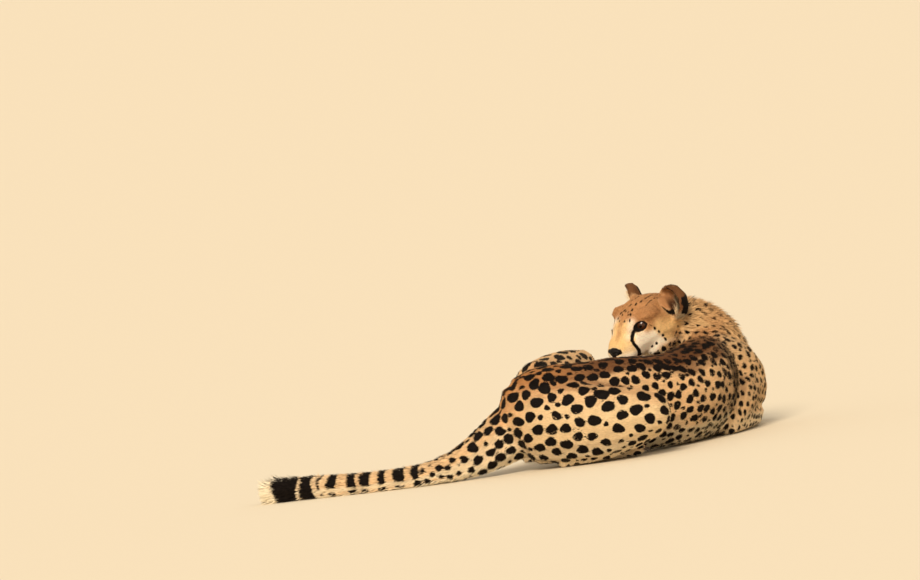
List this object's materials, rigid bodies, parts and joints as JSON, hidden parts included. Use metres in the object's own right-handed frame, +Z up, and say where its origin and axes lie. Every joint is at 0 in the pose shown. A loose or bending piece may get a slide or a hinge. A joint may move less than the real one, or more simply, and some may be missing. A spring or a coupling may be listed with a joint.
{
  "type": "cheetah model",
  "caption": "Life-size still model of a spotted cheetah lying on the floor, looking back over its own back.",
  "frame": {"origin": "middle of the bounding box, on the floor", "axes": "+Z up, -X towards the tail tip, +Y the way that the chest and forelegs point"},
  "size_m": [1.1504, 0.7686, 0.3553],
  "materials": {
    "spotted_coat": "short dense fur, tan with round black spots",
    "pale_coat": "short dense fur, cream with black spots",
    "nose_leather": "finely pebbled, slightly moist",
    "eye": "clear and glossy over a dark brown iris",
    "claw": "smooth horn"
  },
  "bodies": {
    "root": {"chest": "spotted_coat", "claw_fore_left_1": "claw", "claw_fore_left_2": "claw", "claw_fore_left_3": "claw", "claw_fore_left_4": "claw", "claw_fore_right_1": "claw", "claw_fore_right_2": "claw", "claw_fore_right_3": "claw", "claw_fore_right_4": "claw", "claw_hind_left_1": "claw", "claw_hind_left_2": "claw", "claw_hind_left_3": "claw", "claw_hind_left_4": "claw", "claw_hind_right_1": "claw", "claw_hind_right_2": "claw", "claw_hind_right_3": "claw", "claw_hind_right_4": "claw", "ear_left": "spotted_coat", "ear_right": "spotted_coat", "eye_left": "eye", "eye_right": "eye", "fore_left_foot": "pale_coat", "fore_right_foot": "pale_coat", "forearm_left": "pale_coat", "forearm_right": "pale_coat", "head": "spotted_coat", "hind_left_foot": "pale_coat", "hind_right_foot": "pale_coat", "loins": "spotted_coat", "neck": "spotted_coat", "nose": "nose_leather", "rump": "spotted_coat", "shank_left": "spotted_coat", "shank_right": "pale_coat", "shoulder_left": "spotted_coat", "shoulder_right": "spotted_coat", "tail_base": "spotted_coat", "tail_end": "spotted_coat", "tail_middle": "spotted_coat", "tail_tip": "spotted_coat", "thigh_left": "spotted_coat", "thigh_right": "pale_coat", "upper_arm_left": "spotted_coat", "upper_arm_right": "spotted_coat"}
  },
  "joints": []
}
